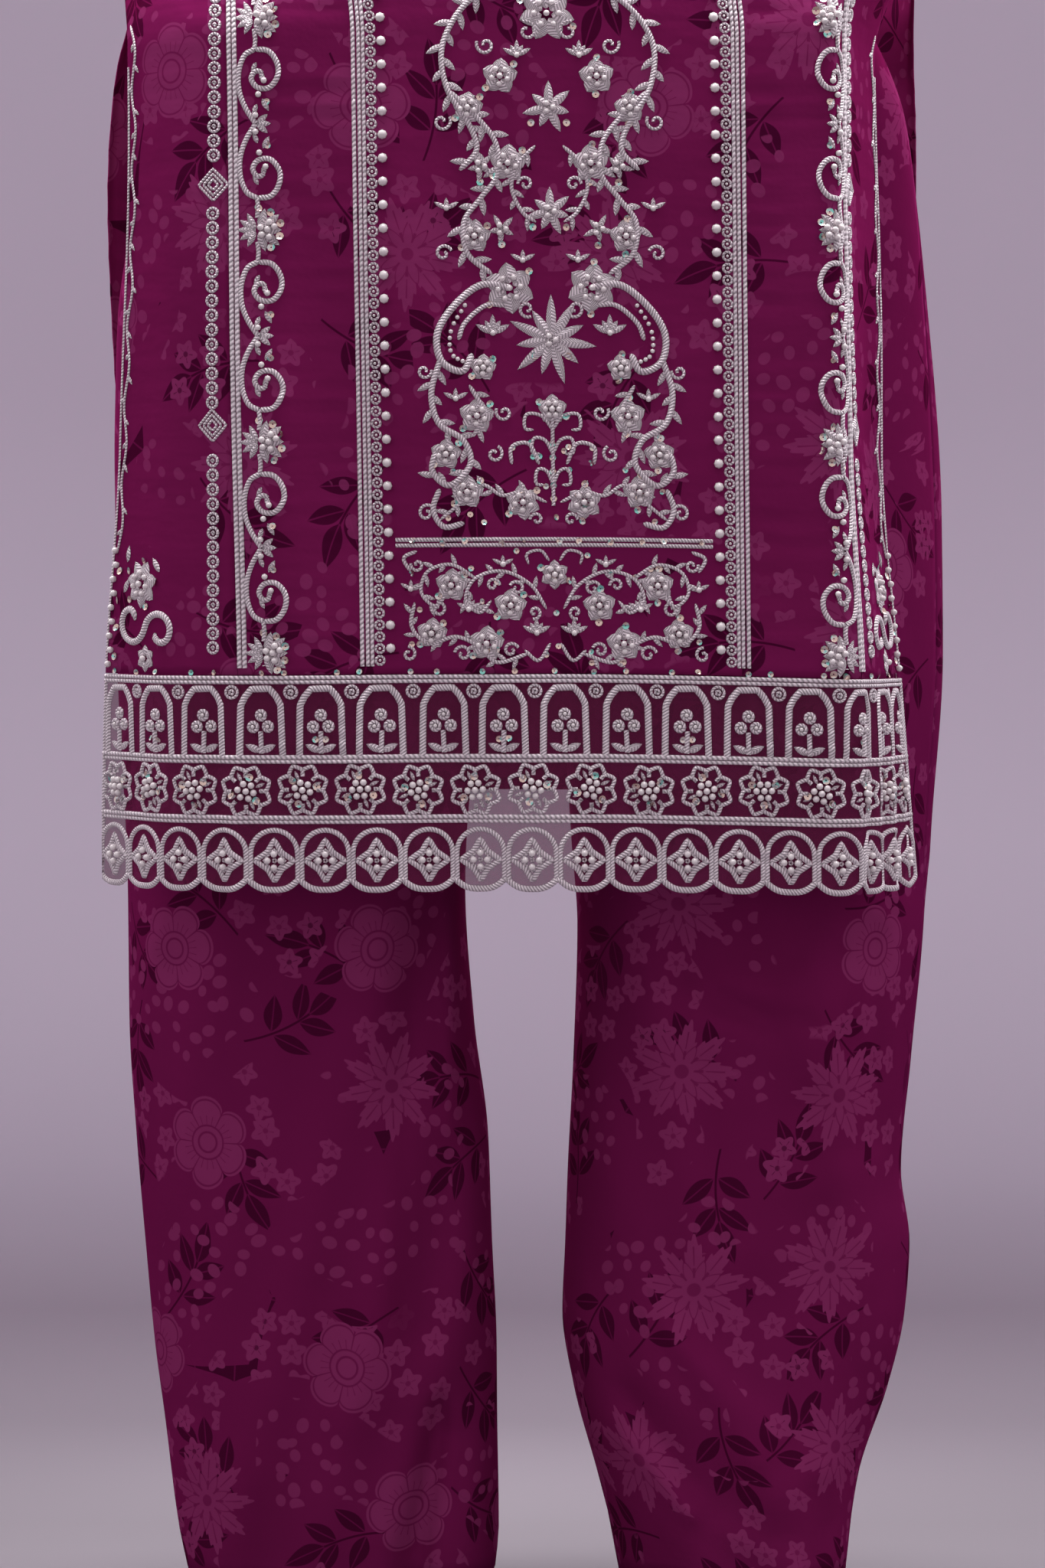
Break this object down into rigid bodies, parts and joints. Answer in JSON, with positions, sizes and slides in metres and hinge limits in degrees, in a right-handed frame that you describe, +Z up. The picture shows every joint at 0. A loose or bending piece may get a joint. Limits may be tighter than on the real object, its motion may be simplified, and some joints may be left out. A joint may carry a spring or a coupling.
{
  "type": "salwar suit",
  "caption": "Worn salwar suit: a knee-length flared kameez with side slits, embroidered front and a sheer scalloped hem border, over straight wide printed trousers.",
  "frame": {"origin": "the point between the wearer's shoulders, level with the base of the neck, where the kameez is held", "axes": "+Z up, the front faces -Y, +X to the wearer's left"},
  "size_m": [0.9888, 0.3045, 1.4084],
  "materials": {
    "printed_cloth": "soft sheen, tonal floral print",
    "sheer_cloth": "sheer, fine even weave",
    "silver_thread": "lustrous thread",
    "pearl": "pearly gloss",
    "sequin": "iridescent gloss"
  },
  "bodies": {
    "root": {"kameez_front_centre": "printed_cloth", "kameez_front_gore_left": "printed_cloth", "kameez_front_gore_right": "printed_cloth", "kameez_back": "printed_cloth", "sleeve_left": "printed_cloth", "sleeve_right": "printed_cloth", "hem_border": "sheer_cloth", "braid_left": "silver_thread", "braid_right": "silver_thread", "side_cord_left": "silver_thread", "side_cord_right": "silver_thread", "border_cord_1": "silver_thread", "border_cord_2": "silver_thread", "border_cord_3": "silver_thread", "trouser_front_left": "printed_cloth", "trouser_front_right": "printed_cloth", "trouser_back_left": "printed_cloth", "trouser_back_right": "printed_cloth", "trouser_waistband": "printed_cloth"}
  },
  "joints": []
}
